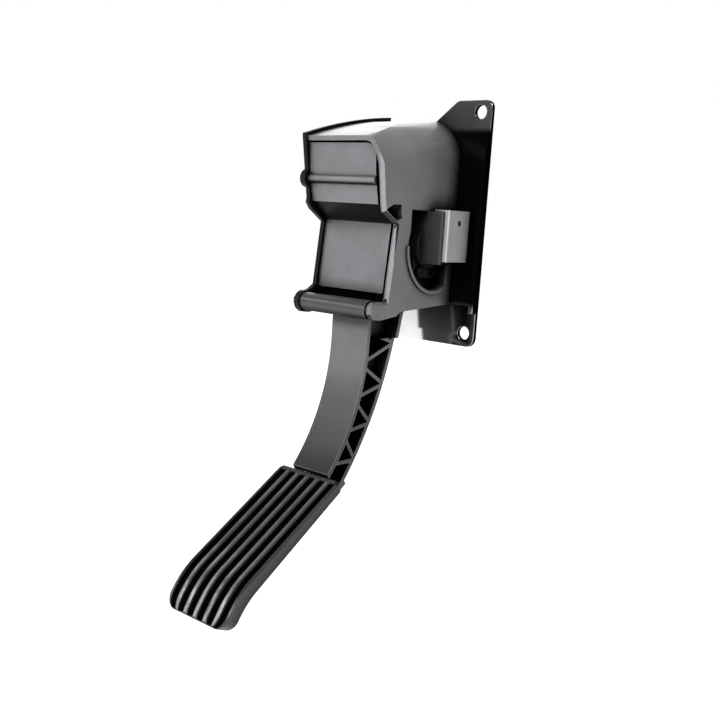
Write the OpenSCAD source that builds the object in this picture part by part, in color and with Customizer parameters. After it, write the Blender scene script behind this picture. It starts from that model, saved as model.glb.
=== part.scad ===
// Accelerator pedal with a steel mounting plate, a moulded housing and a hanging arm.
// X points right as the driver sees it, -Y points to the driver, +Z points up.
// Y = 0 is the back of the mounting plate. Z = 0 lies midway between its right-hand holes.

/* [Mounting plate] */
// Thickness of the steel plate
plate_t = 3; // [2:0.5:4]
// From the middle of the housing to the right edge of the plate
plate_right = 54; // [53:1:65]
// From the middle of the housing to the left edge of the plate
plate_left = 51; // [49:1:60]
// Height of the upper ear's top edge
ear_top = 80; // [79:1:90]
// Height of the plate's top edge beside the ear
plate_top = 62; // [56:1:66]
// Depth of the plate's bottom edge
plate_bottom = 81.5; // [79:0.5:90]
// Distance between the two right-hand holes
hole_spacing = 145; // [130:1:150]
// From the middle of the housing to the right-hand holes
hole_x = 45.5; // [42:0.5:46]
// From the middle of the housing to the left-hand hole
left_hole_x = 42; // [40:0.5:43]
// Diameter of the mounting holes
hole_d = 9; // [6:0.5:10]
// Height of the stiffening flange on the plate's right edge
flange_h = 4; // [2:0.5:6]

/* [Housing] */
// Overall width with the side cover on
housing_w = 63.4; // [60:0.2:70]
// Thickness of the moulded walls
wall_t = 3; // [2.4:0.2:3.6]
// Height of the top at the plate
top_z = 68; // [64:0.5:72]
// Radius of the domed top, seen from the side
dome_r = 430; // [380:10:600]
// Radius of the rounded top right edge
edge_r = 13; // [8:0.5:16]
// Radius of the right shoulder at the plate
shoulder_r = 27; // [20:0.5:30]
// How far the side cover's rim stands above the top
rim_h = 2; // [1:0.5:4]
// Radius of the round pocket that holds the sensor
pocket_r = 29; // [26:0.5:30]
// Depth of that pocket
pocket_depth = 11.7; // [9:0.1:12.5]

/* [Front cover] */
// Thickness of the cover
cover_t = 2.6; // [2:0.2:3.4]
// Gap between the cover and the right wall
cover_gap = 2.4; // [1:0.2:4]
// Diameter of the roll along the cover's bottom edge
roll_d = 12; // [10:0.5:13]
// Diameter of the bar across the cover
bar_d = 5.6; // [4:0.2:6.4]
// Diameter of the lower snap pin
lower_pin_d = 6; // [4:0.5:7]
// Diameter of the upper snap pin
upper_pin_d = 2.8; // [2:0.2:3.4]

/* [Pivot] */
// Position of the pivot in front of the plate's back
pivot_y = -23.5; // [-25:0.5:-23]
// Height of the pivot
pivot_z = -16; // [-18:0.5:-14]
// Diameter of the pivot shaft
shaft_d = 10; // [8:0.5:11]
// Diameter of the arm's hub
hub_d = 30; // [28:0.5:32]
// Wall of the two bearing bushes
bush_t = 2; // [1.5:0.1:2.5]
// Radial play of the shaft in its bushes
shaft_fit = 0.05; // [0.02:0.01:0.1]
// Radial play between pieces that are pressed together
press_fit = 0.02; // [0.01:0.01:0.05]

/* [Arm] */
// Thickness of the flanges
arm_flange_t = 3; // [2:0.2:4]
// Thickness of the web in the middle of the arm
arm_web_t = 3; // [2:0.2:5]
// Thickness of the zigzag ribs
rib_t = 2.4; // [1.4:0.2:3]
// Angle between two ribs along the arm's bend
rib_step = 10.1; // [8:0.1:14]
// Front face of the arm where it leaves the housing
arm_front_y = -67.5; // [-68:0.1:-67]
// Height at which the arm starts to bend
arm_bend_z = -78; // [-84:1:-74]
// Radius of the arm's front face in the bend
arm_bend_r = 130; // [115:1:150]
// Depth of the arm at its thinnest, by the pad
arm_depth = 20.8; // [16:0.2:24]
// How far the back face's centre lies behind the front face's centre
arm_taper = 92; // [70:1:110]

/* [Pad] */
// Width of the pad
pad_w = 52; // [46:1:60]
// Thickness of the pad
pad_t = 6.6; // [6.2:0.2:7]
// Slope of the pad's flat part
pad_slope = 32.3; // [28:0.1:36]
// Length of the pad's flat part
pad_flat = 85; // [70:1:92]
// Radius of the pad's bent lower end
pad_bend_r = 55; // [45:1:80]
// Angle through which the lower end bends
pad_bend = 36; // [25:1:45]
// Number of grooves
groove_count = 6; // [3:1:6]
// Distance between grooves
groove_step = 8.5; // [6.5:0.1:8.6]
// Width of a groove
groove_w = 4; // [1.5:0.1:4.4]
// Depth of a groove
groove_depth = 2; // [1:0.1:2.3]
// Depth of the pad's side at the bend
pad_side = 9.2; // [7:0.2:12]

/* [Sensor] */
// How far the sensor's light connector stands out from the middle
sensor_out = 47; // [45:0.5:50]
// Height of the connector
connector_h = 33; // [28:0.5:36]
// Depth of the connector from front to back
connector_l = 23.5; // [21:0.5:24]
// Wall of the connector
connector_t = 1.8; // [1.2:0.1:2.2]
// Diameter of the position magnet
magnet_d = 9; // [6:0.5:10]

/* [Springs] */
// Height of the spring axis
spring_z = 27; // [26:0.5:29]
// Mean radius of the outer spring
outer_spring_r = 11; // [10.5:0.1:11.4]
// Wire of the outer spring
outer_wire_d = 2.4; // [1.8:0.1:2.6]
// Mean radius of the inner spring
inner_spring_r = 6.5; // [6.2:0.1:6.8]
// Wire of the inner spring
inner_wire_d = 1.6; // [1.2:0.1:1.8]
// Full swing of the pedal in degrees
swing = 18; // [10:1:18]
// Clearance between pieces that move or are pushed together by hand
play = 0.3; // [0.2:0.05:0.5]

/* [Hidden] */
$fn = 96;

black = [0.07, 0.07, 0.075];
dark = [0.16, 0.16, 0.17];
nylon = [0.27, 0.27, 0.28];
grey = [0.62, 0.62, 0.63];
steel = [0.72, 0.73, 0.75];

// Width of the plate's ear at its top, and the slope of its left side
ear_w = 27;
ear_slope = 1.25;

// Faces of the housing across X
right_x = housing_w / 2;
left_x = -housing_w / 2;
inner_right = right_x - wall_t;
inner_left = left_x + wall_t;
back_y = -plate_t;
inner_back = back_y - wall_t;
pocket_floor = right_x - pocket_depth;
floor_back = pocket_floor - wall_t;

// Middle of the domed top's arc
dome_tilt = 7;
shoulder_tilt = 7.5;
dome_y = back_y + dome_r * sin(dome_tilt);
dome_z = top_z - dome_r * cos(dome_tilt);

// Side view of the housing, as Y and Z, from the top front round to the bottom back
front_top = [-86.5, 90];
front_line = [[-86.5, 49], [-79.5, 8.5], [-78.2, 4], [-65.2, -3.5], [-69.8, -44.5],
    [-70.6, -51.4], [-83, -51.4]];
bottom_line = [[-85.8, -54], [-86, -58.5], [-83, -62], [-76, -62.5], [-60, -60.5], [-55.5, -57.8],
    [back_y, -54.3]];
side_outline = concat([front_top], front_line, bottom_line, [[back_y, 90]]);

// Side view of the front cover's outer face
cover_line = [[-84.8, 47.8], [-82.8, 27.2], [-81.4, 19.6], [-78.8, 8.6], [-66.4, -0.8],
    [-64.6, -3], [-68.9, -46.4]];
// Side view of the two hidden links that carry the roll, and how far from the middle they start
link_line = [[-66.4, -41], [-61.5, -43], [-61.5, -52.9], [-80, -52.9], [-78, -51.6], [-64.4, -51.4],
    [-64.4, -44.8], [-66.8, -43.8]];
link_x = 17.5;
roll_y = -80;
roll_z = -56.5;
bar_y = -81.6;
bar_z = 22.8;
bar_end = 8;
cover_right = inner_right - cover_gap;
top_gap = 1.6;
cover_left = inner_left + play;

// Arcs of the arm's front and back faces
arm_front_c = [arm_front_y - arm_bend_r, arm_bend_z];
arm_thin_at = 37;
arm_back_c = arm_front_c + arm_taper * [-cos(arm_thin_at), sin(arm_thin_at)];
arm_back_r = arm_bend_r + arm_taper + arm_depth;
// Y of the arm's back face at height z
function arm_back_at(z) = arm_back_c[0] + sqrt(pow(arm_back_r, 2) - pow(z - arm_back_c[1], 2));
pivot = [pivot_y, pivot_z];
hub_r = hub_d / 2;
shaft_r = shaft_d / 2;
// The hub and the arm fill the room between the sensor pocket's floor and the side cover
bush_flange = 1.1;
bush_set = 0.1;
hub_w = 2 * (floor_back - bush_flange - play - bush_set);
arm_w = hub_w - 2 * play;
rear_step = 3;
arm_back_w = arm_w - 2 * rear_step;
neck_top = -53;
neck_bottom = -62;
nose_r = 6;
nose_w = hub_w / 2;

// Idle stop between the arm and the housing's bottom front beam
idle_t = 3;
beam_back = arm_front_y - play - idle_t;
beam_t = 2.8;
beam_z = [-61.5, -53.2];

// The pad starts just in front of the arm's front face
pad_top = [-97.2, -163.2];
pad_wall = 3;
foot_t = 2.4;
foot_w0 = pad_t - 1.1 - foot_t;
foot_w1 = pad_t - 1.1;

// Spring seats along Y
nose_front = pivot_y - nose_r;
cup_back = nose_front - play;
cup_t = 3;
cup_r = 14.4;
guide_front = -76.6;
guide_t = 2.6;
guide_tube_r = 4.6;
guide_tube_l = 21;
guide_half = [inner_right - 9.7, 13.5];
stem_r = 3.5;
stem_l = 28;
spring_back = cup_back - cup_t;
spring_front = guide_front + guide_t;
spring_l = spring_back - spring_front;

// Sensor along X and Y
sensor_top = 7;
sensor_front = -33.6;
sensor_back = inner_back - 3 - play;
sensor_x = sensor_out - 3.6;
connector_front = -31.6;
connector_x = sensor_out - 11.6;
connector_z = sensor_top + 1 - connector_h;
rotor_x = pocket_floor + 0.9;
holder_r = 7;
holder_end = rotor_x + 6.2;
shaft_left = inner_left + 1.4;
shaft_right = rotor_x + 3.6;
board_r = 8.8;
board_t = 1.4;
cavity_r = 9;
cavity_end = pocket_floor + 10.5;

// Corner points of a polyline replaced by arcs of radius r
function unit(v) = v / norm(v);
function arc_at(a, b, c, r, n) =
    let (u = unit(a - b), v = unit(c - b), half = acos(u * v) / 2,
        m = b + unit(u + v) * r / sin(half),
        p = b + u * r / tan(half) - m, q = b + v * r / tan(half) - m,
        a0 = atan2(p[1], p[0]), turn = atan2(p[0] * q[1] - p[1] * q[0], p * q))
    [for (i = [0 : n]) m + r * [cos(a0 + turn * i / n), sin(a0 + turn * i / n)]];
function rounded(points, radii, n = 6) =
    let (k = len(points))
    [for (i = [0 : k - 1]) each radii[i] == 0 ? [points[i]]
        : arc_at(points[(i + k - 1) % k], points[i], points[(i + 1) % k], radii[i], n)];
// A polyline shifted sideways by d, with mitred corners
function normal(a, b) = let (u = unit(b - a)) [-u[1], u[0]];
function shifted(points, d) =
    let (k = len(points))
    [for (i = [0 : k - 1])
        let (n0 = normal(points[max(i - 1, 0)], points[max(i, 1)]),
            n1 = normal(points[min(i, k - 2)], points[min(i + 1, k - 1)]))
        points[i] + (n0 + n1) * d / (1 + n0 * n1)];
function reversed(points) = [for (i = [len(points) - 1 : -1 : 0]) points[i]];

// Extrudes a side view, given as Y and Z, from x0 to x1
module across(x0, x1) {
    translate([x0, 0, 0]) rotate([90, 0, 90]) linear_extrude(x1 - x0) children();
}
// The same about the middle plane
module across_mid(w) {
    across(-w / 2, w / 2) children();
}
// A cylinder along X about a point of the side view
module rod_x(at, r, x0, x1) {
    translate([x0, at[0], at[1]]) rotate([0, 90, 0]) cylinder(h = x1 - x0, r = r);
}
// A cylinder along Y
module rod_y(x, z, r, y0, y1) {
    translate([x, y1, z]) rotate([90, 0, 0]) cylinder(h = y1 - y0, r = r);
}

// Body under the domed top: its right edge is rounded, its left edge stays sharp
module dome(inset, x0, x1, r_edge) {
    r = dome_r - inset;
    deep = r - 165;
    translate([0, dome_y, dome_z]) rotate([0, -90, 0]) rotate([0, 0, -27]) rotate_extrude(angle = 26)
        polygon(rounded([[deep, -x1], [r, -x1], [r, -x0], [deep, -x0]], [0, r_edge, 0, 0], 8));
}

// Room under the right shoulder, whose rounding is wider at the back than at the front
module shoulder(inset) {
    r = shoulder_r - inset;
    w = right_x - inset + 0.2;
    translate([0, 1, top_z - inset]) rotate([shoulder_tilt + 90, 0, 0]) linear_extrude(120)
        polygon(rounded([[-housing_w, 0], [w, 0], [w, -200], [-housing_w, -200]], [0, r, 0, 0], 10));
}

// Side view of the sensor pocket, grown by g
module pocket_outline(g) {
    r = pocket_r + g;
    intersection() {
        union() {
            translate(pivot) circle(r = r);
            translate([pivot_y - r + 1.5, pivot_z]) square([2 * r, sensor_top - pivot_z + g]);
        }
        translate([-80, -70]) square([80 + inner_back - 3 + g, 70 + sensor_top + g]);
    }
}

// Pins that join the side cover and the plate to the housing, as Y and Z
screw_r = 2;
boss_r = 5;
cover_screw_at = [[-12, 30], [-45, -50], [-60, 46.5]];
plate_screw_x = inner_right - 1.5 * boss_r;
plate_screw_z = 48;
plate_screw_at = [for (x = [-plate_screw_x, plate_screw_x], z = [-plate_screw_z, plate_screw_z]) [x, z]];
cover_boss_l = 12;

module mounting_plate() {
    ear_left = plate_right - ear_w;
    ear_foot = ear_left - ear_slope * (ear_top - plate_top);
    outline = [[-plate_left, 40], [-plate_left + 22, plate_top], [ear_foot, plate_top], [ear_left, ear_top], [plate_right, ear_top], [plate_right, -plate_bottom],
        [-16, -plate_bottom], [-plate_left, -46]];
    color(black) difference() {
        union() {
            rotate([90, 0, 0]) linear_extrude(plate_t)
                polygon(rounded(outline, [9, 12, 8, 6, 5, 6, 16, 16]));
            translate([plate_right - plate_t, back_y - flange_h, -hole_spacing / 2 + 14])
                cube([plate_t, flange_h, hole_spacing - 28]);
        }
        for (z = [-hole_spacing / 2, hole_spacing / 2])
            rod_y(hole_x, z, hole_d / 2, -plate_t - 1, 1);
        rod_y(-left_hole_x, 0, hole_d / 2, -plate_t - 1, 1);
        for (p = plate_screw_at) {
            rod_y(p[0], p[1], screw_r + 0.2, -plate_t - 1, 1);
            translate([p[0], 0.01, p[1]]) rotate([90, 0, 0])
                cylinder(h = 2.3, r1 = screw_r + 2.5, r2 = screw_r + 0.2);
        }
    }
}

module housing_screws() {
    color(steel) for (p = plate_screw_at) {
        translate([p[0], -0.3, p[1]]) rotate([90, 0, 0])
            cylinder(h = 2, r1 = screw_r + 2, r2 = screw_r);
        rod_y(p[0], p[1], screw_r, -14, -2.2);
    }
}

module housing() {
    color(nylon) difference() {
        union() {
            difference() {
                housing_envelope();
                housing_cavity();
            }
            intersection() {
                housing_envelope();
                housing_insides();
            }
            pocket_collar();
        }
        // Pocket opening, notch window and bores
        across(pocket_floor, right_x + 5) pocket_outline(0);
        across(inner_right - 1, right_x + 1) polygon(notch_window);
        rod_x(pivot, shaft_r + bush_t + press_fit, 0, right_x);
        translate([pocket_floor - 0.8, 0, 0]) gasket_ring(0.1);
        for (p = sensor_screw_at) rod_x(p, 1.5, pocket_floor - 2.4, pocket_floor + 1);
        for (p = plate_screw_at) rod_y(p[0], p[1], screw_r + 0.05, -14.5, 0);
        for (p = cover_screw_at) rod_x(p, screw_r + 0.05, inner_left - 1, inner_left + cover_boss_l - 1);
        rod_x([roll_y, roll_z], lower_pin_d / 2 + 0.1, 0, inner_right);
        rod_y(0, full_stop_z, 2.1, inner_back - 1, inner_back + 2);
        wall_edge_rounding();
    }
}

// Outer form of the housing, closed
module housing_envelope() {
    intersection() {
        across(inner_left, right_x) polygon(side_outline);
        dome(0, inner_left - 1, right_x, edge_r);
        shoulder(0);
    }
}

// What stands inside the housing's walls
module housing_insides() {
    // Bottom front beam that carries the idle stop
    translate([inner_left, beam_back - beam_t, beam_z[0]])
        cube([inner_right - inner_left + 0.5, beam_t, beam_z[1] - beam_z[0]]);
    // Wall and floor of the sensor pocket
    across(floor_back, right_x - 1) difference() {
        pocket_outline(wall_t);
        pocket_outline(0);
    }
    across(floor_back, pocket_floor + 0.01) pocket_outline(wall_t);
    rod_x(pivot, shaft_r + bush_t + 3, hub_w / 2 + play + bush_flange, floor_back + 1);
    for (p = plate_screw_at) rod_y(p[0], p[1], boss_r, -18, back_y);
    for (p = cover_screw_at) rod_x(p, boss_r, inner_left, inner_left + cover_boss_l);
    for (p = cover_screw_at) cover_boss_rib(p);
    // Socket for the lower snap pin
    rod_x([roll_y, roll_z], lower_pin_d / 2 + 2, cover_right + 0.6, inner_right + 0.5);
}

// The five-sided window in the right wall behind the notch
notch_window = [[-76.6, 6], [-70, 9.2], [-62, 9.4], [-61, 1], [-65.5, -0.9], [-74.6, 4.2]];
full_stop_z = -42;

module housing_cavity() {
    floor_line = [[-60, -57.3], [-55.5, -54.6], [inner_back, -51.2]];
    intersection() {
        across(inner_left - 1, inner_right)
            polygon(concat([[-95, 100], [-95, -70], [-60, -70]], floor_line, [[inner_back, 100]]));
        dome(wall_t, inner_left - 2, inner_right, edge_r - wall_t);
        shoulder(wall_t);
    }
    // Slot through which the arm hangs
    translate([-arm_w / 2 - 3, -72, -75]) cube([arm_w + 6, 58, 30]);
}

// Raised rim round the lower left of the pocket
module pocket_collar() {
    intersection() {
        across(right_x - 1, right_x + 1.2) difference() {
            translate(pivot) circle(r = pocket_r + 2.2);
            pocket_outline(0);
        }
        across(right_x - 1, right_x + 2) translate([pivot_y - 40, pivot_z - 40]) square([50, 40]);
    }
}

// Ribs from a side cover boss to the wall behind it or above it
module cover_boss_rib(p) {
    if (p[0] > -40)
        translate([inner_left, p[0], p[1] - 1]) cube([cover_boss_l, back_y - p[0] - 1, 2]);
    else
        translate([inner_left, p[0] - 1, p[1] > 0 ? p[1] : p[1] - 9]) cube([cover_boss_l, 2, 9]);
}

// Chamfers along the right wall's outer front edges
module wall_edge_rounding() {
    c = 2.6;
    for (i = [0 : len(front_line) - 2]) {
        a = front_line[i];
        b = front_line[i + 1];
        along = atan2(b[1] - a[1], b[0] - a[0]);
        translate([right_x, a[0], a[1]]) rotate([along, 0, 0]) rotate([0, 45, 0])
            translate([-c / 2, -1, -c]) cube([c, norm(b - a) + 2, 2 * c]);
    }
}

module side_cover() {
    rim = concat([[-88, 90]], [[-88, 49], [-81.4, 10.5], [-82, 7.6], [-78.8, 3.6], [-66.4, -4.2],
        [-71, -45.4], [-76, -48.6]], [[-83.6, -50.6], [-87.6, -56.5], [-83, -63.4], [-76, -64],
        [-60, -62], [-55.5, -59.3], [back_y, -55.8], [back_y, 90]]);
    color(black) difference() {
        union() {
            intersection() {
                across(left_x, inner_left) polygon(rim);
                dome(-rim_h, left_x - 20, inner_left + 20, 1);
            }
            rod_x(pivot, shaft_r + bush_t + 3, left_x, -hub_w / 2 - play - bush_flange);
            rod_x([roll_y, roll_z], roll_d / 2 + 1, left_x - 1, inner_left);
            rod_x([bar_y, bar_z], bar_d / 2 + 3, left_x - 1, inner_left);
            side_ribs();
        }
        rod_x(pivot, shaft_r + bush_t + press_fit, inner_left + 0.8, 0);
        rod_x([roll_y, roll_z], lower_pin_d / 2 + 0.1, left_x - 2, inner_left + 1);
        rod_x([bar_y, bar_z], upper_pin_d / 2 + 0.1, left_x - 2, inner_left + 1);
        for (p = cover_screw_at) {
            rod_x(p, screw_r + 0.3, left_x - 3, inner_left + 1);
        }
    }
}

// Stiffening ribs on the outside of the side cover, from the bearing boss outwards
module side_ribs() {
    rod_x(pivot, shaft_r + bush_t + 5, left_x - 1.6, left_x);
    for (a = [20, 90, 150, 205, 270]) {
        translate([left_x - 1.6, pivot_y, pivot_z]) rotate([a, 0, 0])
            translate([0, shaft_r + bush_t + 4, -1]) cube([1.6, a == 20 ? 6 : 22, 2]);
    }
}

module side_cover_screws() {
    color(steel) for (p = cover_screw_at) {
        rod_x(p, screw_r, left_x - 0.5, inner_left + cover_boss_l - 1.5);
        rod_x(p, 4, left_x - 2.4, left_x);
    }
}

module front_cover() {
    inner = shifted(cover_line, cover_t);
    color(nylon) difference() {
        union() {
            intersection() {
                across(cover_left, cover_right) polygon(concat(cover_line, reversed(inner)));
                dome(wall_t + top_gap, cover_left - 20, cover_right, edge_r - wall_t - cover_gap);
            }
            rod_x([roll_y, roll_z], roll_d / 2, cover_left, cover_right);
            across(cover_left, -link_x) polygon(link_line);
            across(link_x, cover_right) polygon(link_line);
            intersection() {
                rod_x([bar_y, bar_z], bar_d / 2, cover_left, cover_right);
                across(cover_left, cover_right) translate([-90, 10]) square([10.1, 30]);
            }
        }
        rod_x([roll_y, roll_z], lower_pin_d / 2 + 0.1, cover_left - 1, cover_right + 1);
        rod_x([bar_y, bar_z], upper_pin_d / 2 + 0.1, cover_left - 1, cover_right - bar_end);
    }
}

// Pin along X with a slit barb at its left end
module snap_pin(at, r, x_end, barb_r, barb_l) {
    x_out = left_x - 1 - barb_l;
    difference() {
        union() {
            rod_x(at, r, x_out + 0.5, x_end);
            translate([left_x - 1 - play, at[0], at[1]]) rotate([0, -90, 0])
                cylinder(h = barb_l - play, r1 = barb_r, r2 = r * 0.7);
        }
        translate([x_out - 1, at[0] - barb_r - 1, at[1] - 0.7])
            cube([barb_l + 3, 2 * barb_r + 2, 1.4]);
    }
}

module upper_snap_pin() {
    color(black) snap_pin([bar_y, bar_z], upper_pin_d / 2, cover_right - bar_end - play, 4.4, 4);
}

module lower_snap_pin() {
    color(black) snap_pin([roll_y, roll_z], lower_pin_d / 2, inner_right - play, 5, 5);
}

// Flanged bush; the flange faces the arm's hub
module bush(x_hub, x_end) {
    dir = x_end > x_hub ? 1 : -1;
    difference() {
        union() {
            rod_x(pivot, shaft_r + bush_t, min(x_hub, x_end), max(x_hub, x_end));
            rod_x(pivot, shaft_r + bush_t + 2.6, min(x_hub, x_hub + dir * bush_flange),
                max(x_hub, x_hub + dir * bush_flange));
        }
        rod_x(pivot, shaft_r + shaft_fit, -right_x, right_x);
    }
}

module bush_left() {
    color(grey) bush(-hub_w / 2 - play, inner_left + 1);
}

module bush_right() {
    color(grey) bush(hub_w / 2 + play, pocket_floor - 0.2);
}

module gasket_ring(g) {
    translate([0, pivot_y, pivot_z]) rotate([0, 90, 0]) difference() {
        cylinder(h = 0.8, r = 12.8 + g);
        translate([0, 0, -1]) cylinder(h = 3, r = 11.2 - g);
    }
}

module sensor_gasket() {
    color(black) translate([pocket_floor - 0.8, 0, 0]) gasket_ring(0);
}

sensor_screw_at = [[-30, -33], [-14, -33]];

module sensor_body() {
    plan = rounded([[pocket_floor, sensor_front], [sensor_x, sensor_front],
        [sensor_x, connector_front - play], [connector_x - 0.2, connector_front - play],
        [connector_x - 0.2, sensor_back], [pocket_floor, sensor_back]],
        [0, 1.4, 0, 0, 0, 0]);
    color(dark) difference() {
        union() {
            translate([0, 0, connector_z - 2]) linear_extrude(sensor_top - play - connector_z + 2)
                polygon(plan);
            rod_x(pivot, sensor_back - pivot_y, pocket_floor, pocket_floor + 8);
            across(pocket_floor, pocket_floor + 3.5)
                polygon(rounded([[-35, -22], [-35, -37], [-10, -37], [-10, -22]], [0, 4, 4, 0]));
        }
        rod_x(pivot, cavity_r, pocket_floor - 1, cavity_end);
        for (p = sensor_screw_at) rod_x(p, 1.7, pocket_floor - 1, pocket_floor + 9);
        for (p = sensor_screw_at) rod_x(p, 3.2, pocket_floor + 3.5, pocket_floor + 16);
    }
}

module sensor_screws() {
    color(steel) for (p = sensor_screw_at) {
        rod_x(p, 1.45, pocket_floor - 2.2, pocket_floor + 3.6);
        rod_x(p, 2.8, pocket_floor + 3.55, pocket_floor + 5.6);
    }
}

module sensor_board() {
    color("darkgreen") difference() {
        rod_x(pivot, board_r, cavity_end - board_t, cavity_end);
        rod_x([pivot_y, pivot_z + 6.4], 0.6, cavity_end - board_t - 1, cavity_end + 1);
    }
}

module connector_shell() {
    inner_l = connector_l - 2 * connector_t;
    depth = sensor_out - connector_x - 2 * connector_t;
    color(grey) difference() {
        translate([connector_x, 0, connector_z]) linear_extrude(connector_h)
            polygon(rounded([[0, connector_front], [sensor_out - connector_x, connector_front],
                [sensor_out - connector_x, connector_front + connector_l],
                [0, connector_front + connector_l]], [0, 1, 1, 0]));
        translate([connector_x + connector_t, connector_front + connector_t, connector_z - 1])
            cube([depth, inner_l, 23]);
        rod_x([-19.8, 0], 1.8, sensor_out - 1.2, sensor_out + 1);
        // Window for the plug's latch
        translate([connector_x - 1, connector_front + connector_l / 2 - 2.5, connector_z + 4])
            cube([connector_t + 1.01, 5, 4]);
    }
}

module connector_pins() {
    roof = connector_z + 22;
    color("goldenrod") for (x = [-1.8, 1.8], i = [-1 : 1])
        translate([(connector_x + sensor_out) / 2 + x, connector_front + connector_l / 2 + i * 5, roof - 11])
            cylinder(h = 11, r = 0.6, $fn = 24);
}

module idle_stop_pad() {
    color(black) translate([-10, beam_back, beam_z[0] + 1])
        cube([20, idle_t, beam_z[1] - beam_z[0] - 2]);
}

module full_stop_pad() {
    bevel = 1.6;
    color(black) union() {
        rod_y(0, full_stop_z, 2, inner_back, inner_back + 1.7);
        rod_y(0, full_stop_z, stop_r, full_stop_tip + bevel - 0.1, inner_back);
        translate([0, full_stop_tip + bevel, full_stop_z]) rotate([90, 0, 0])
            cylinder(h = bevel, r1 = stop_r, r2 = stop_r - bevel);
    }
}

// Where the neck's back face stands at full swing, by the stop's height
neck_back_low = [arm_back_at(neck_bottom), neck_bottom];
function swung(p, a) = pivot + [(p - pivot)[0] * cos(a) - (p - pivot)[1] * sin(a),
    (p - pivot)[0] * sin(a) + (p - pivot)[1] * cos(a)];
stop_a = swung(neck_back_low, swing);
stop_b = swung(hub_touch(neck_back_low, 1), swing);
stop_r = 4.6;
full_stop_tip = play + max([for (z = [full_stop_z - stop_r, full_stop_z + stop_r])
    stop_a[0] + (stop_b[0] - stop_a[0]) * (z - stop_a[1]) / (stop_b[1] - stop_a[1])]);

// Point where a line from p touches the hub, on the side that s gives
function hub_touch(p, s) =
    let (d = pivot - p, far = norm(d), a = atan2(d[1], d[0]) - s * asin(hub_r / far))
    p + sqrt(far * far - hub_r * hub_r) * [cos(a), sin(a)];

// Y of a side view's line at height z
function y_on(line, z) = lookup(z, [for (p = line) [p[1], p[0]]]);

module spring_guide() {
    rear = guide_front + guide_t;
    seat = shifted(cover_line, cover_t + 0.05);
    low = spring_z - guide_half[1];
    high = spring_z + guide_half[1];
    color(dark) difference() {
        union() {
            across_mid(2 * guide_half[0]) polygon([[y_on(seat, low), low], seat[2], seat[1], [y_on(seat, high), high],
                [rear, high], [rear, low]]);
            rod_y(0, spring_z, guide_tube_r, rear - 0.5, rear + guide_tube_l);
        }
        rod_y(0, spring_z, stem_r + play / 2, -90, rear + guide_tube_l + 1);
    }
}

module spring_cup() {
    color(dark) union() {
        rod_y(0, spring_z, cup_r, cup_back - cup_t, cup_back);
        difference() {
            rod_y(0, spring_z, cup_r, spring_back - 5, spring_back + 0.5);
            rod_y(0, spring_z, cup_r - 1.5, spring_back - 6, spring_back);
        }
        rod_y(0, spring_z, stem_r, spring_back - stem_l, spring_back + 0.5);
    }
}

// Compression spring along Y, closed at both ends, swept round a helix
module coil(r, wire_r, turns, length, sides, steps) {
    n = turns * steps;
    free = length - 2 * wire_r - 0.1;
    // The first and last turn lie flat
    function rise(t) = t < 1 ? wire_r * 2 * t
        : t > turns - 1 ? free - wire_r * 2 * (turns - t)
        : wire_r * 2 + (free - 4 * wire_r) * (t - 1) / (turns - 2);
    ring = [for (i = [0 : n], j = [0 : sides - 1])
        let (a = 360 * i / steps, b = 360 * j / sides, q = r + wire_r * cos(b))
        [q * cos(a), q * sin(a), wire_r + rise(i / steps) + wire_r * sin(b)]];
    quads = [for (i = [0 : n - 1], j = [0 : sides - 1])
        [i * sides + j, i * sides + (j + 1) % sides, (i + 1) * sides + (j + 1) % sides, (i + 1) * sides + j]];
    polyhedron(ring, concat([[for (j = [sides - 1 : -1 : 0]) j]], quads,
        [[for (j = [0 : sides - 1]) n * sides + j]]));
}

module outer_spring() {
    color(steel) translate([0, spring_back - 0.05, spring_z]) rotate([90, 0, 0])
        coil(outer_spring_r, outer_wire_d / 2, 7, spring_l - 0.1, 8, 20);
}

module inner_spring() {
    color(steel) translate([0, spring_back - 0.05, spring_z]) rotate([90, 0, 0])
        coil(inner_spring_r, inner_wire_d / 2, 10, spring_l - 0.1, 6, 16);
}

// Side view of the arm between its front and back arcs
module arm_blade() {
    difference() {
        translate(arm_back_c) circle(r = arm_back_r, $fn = 360);
        translate(arm_front_c) circle(r = arm_bend_r, $fn = 360);
    }
}

// Space above the pad's top end that the blade may fill
module blade_limits() {
    along = [-cos(pad_slope), -sin(pad_slope)];
    down = [sin(pad_slope), -cos(pad_slope)];
    polygon([[-20, arm_bend_z], [arm_front_y - 1, arm_bend_z],
        pad_top - 60 * down, pad_top - 0.3 * along, pad_top + 40 * down]);
}

// Middle line of one zigzag rib, as a bar in the side view
module rib_bar(from, to) {
    d = to - from;
    translate(from) rotate(atan2(d[1], d[0])) translate([-4, -rib_t / 2]) square([norm(d) + 8, rib_t]);
}

// Point on the arm's front or back face at an angle of the bend
function on_front(a) = arm_front_c + arm_bend_r * [cos(a), -sin(a)];
function on_back(a) =
    let (v = [cos(a), -sin(a)], d = arm_front_c - arm_back_c, h = v * d)
    arm_front_c + v * (-h + sqrt(h * h - d * d + arm_back_r * arm_back_r));

// Angle of the first rib's front end, and where its back end stands between two front ends
rib_start = -3.2;
rib_lean = 0.44;

module arm_ribs() {
    for (i = [0 : 3]) {
        a = rib_start + i * rib_step;
        rib_bar(on_front(a), on_back(a + rib_step * rib_lean));
        rib_bar(on_back(a + rib_step * rib_lean), on_front(a + rib_step));
    }
}

// A flange along one face of the neck, drawn on past the bend so that it meets the blade's flange
module neck_flange(line, d) {
    drawn_on = concat([line[0] + 6 * unit(line[0] - line[1])], line);
    polygon(concat(drawn_on, reversed(shifted(drawn_on, d))));
}

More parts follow.
